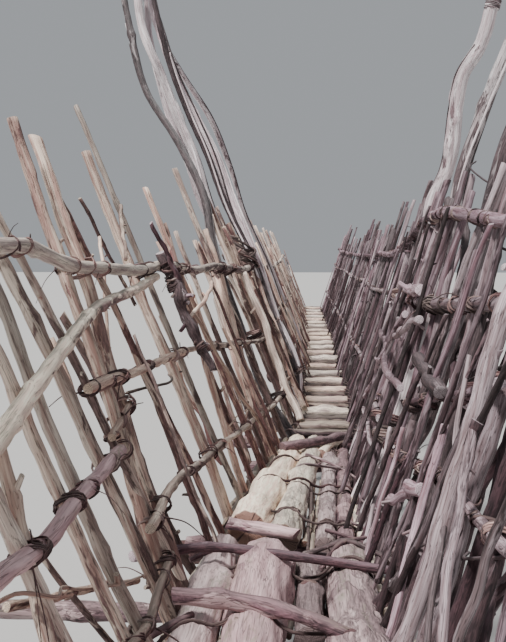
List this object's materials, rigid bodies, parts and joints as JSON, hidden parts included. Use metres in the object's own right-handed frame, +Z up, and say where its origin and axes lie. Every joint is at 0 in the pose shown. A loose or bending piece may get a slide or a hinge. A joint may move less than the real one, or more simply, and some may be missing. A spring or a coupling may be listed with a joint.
{
  "type": "rustic pole and liana footbridge with slanting stake fences",
  "caption": "Narrow rustic footbridge of poles, logs and cross slats with outward-leaning stake fences, hung from liana stays and landed on log cribs.",
  "frame": {"origin": "on the ground under the middle of the outer near sill's hewn underside", "axes": "+X to the right across the bridge, +Y along the bridge away from the near landing, +Z up"},
  "size_m": [2.1311, 14.14, 3.362],
  "materials": {
    "stake_wood": "matt",
    "grey_wood": "matt",
    "log_wood": "matt",
    "slat_wood": "matt",
    "bearer_wood": "matt",
    "crib_wood": "matt",
    "liana": "matt"
  },
  "bodies": {
    "root": {"left_bearer": "bearer_wood", "right_bearer": "bearer_wood", "yoke_1": "bearer_wood", "yoke_2": "bearer_wood", "yoke_3": "bearer_wood", "yoke_4": "bearer_wood", "yoke_5": "bearer_wood", "joist_1": "bearer_wood", "joist_2": "bearer_wood", "joist_3": "bearer_wood", "joist_4": "bearer_wood", "joist_5": "bearer_wood", "deck_crosspole": "bearer_wood", "deck_crosspole_near": "bearer_wood", "deck_log_left": "log_wood", "deck_log_middle": "log_wood", "deck_log_inner": "log_wood", "deck_log_short": "log_wood", "deck_log_right": "log_wood", "deck_pole_left": "slat_wood", "deck_pole_middle": "slat_wood", "deck_pole_inner": "slat_wood", "deck_pole_right": "slat_wood", "slat_deck_1": "slat_wood", "slat_deck_2": "slat_wood", "slat_deck_3": "slat_wood", "near_sill_1": "crib_wood", "near_sill_2": "crib_wood", "near_cheek_1": "crib_wood", "near_cheek_2": "crib_wood", "near_header": "crib_wood", "far_sill_1": "crib_wood", "far_sill_2": "crib_wood", "far_cheek_1": "crib_wood", "far_cheek_2": "crib_wood", "far_header": "crib_wood", "left_hand_rail": "stake_wood", "left_fence_1": "stake_wood", "left_fence_2": "stake_wood", "left_fence_3": "stake_wood", "left_fence_4": "stake_wood", "right_hand_rail": "grey_wood", "right_fence_1": "grey_wood", "right_fence_2": "grey_wood", "right_fence_3": "grey_wood", "right_fence_4": "grey_wood", "left_brace_pole": "stake_wood", "left_stay_1": "liana", "left_stay_2": "liana", "left_stay_3": "liana", "left_stay_4": "liana", "left_stay_5": "liana", "left_stay_6": "liana", "right_stay_1": "liana", "right_stay_2": "liana", "right_stay_3": "liana"}
  },
  "joints": []
}
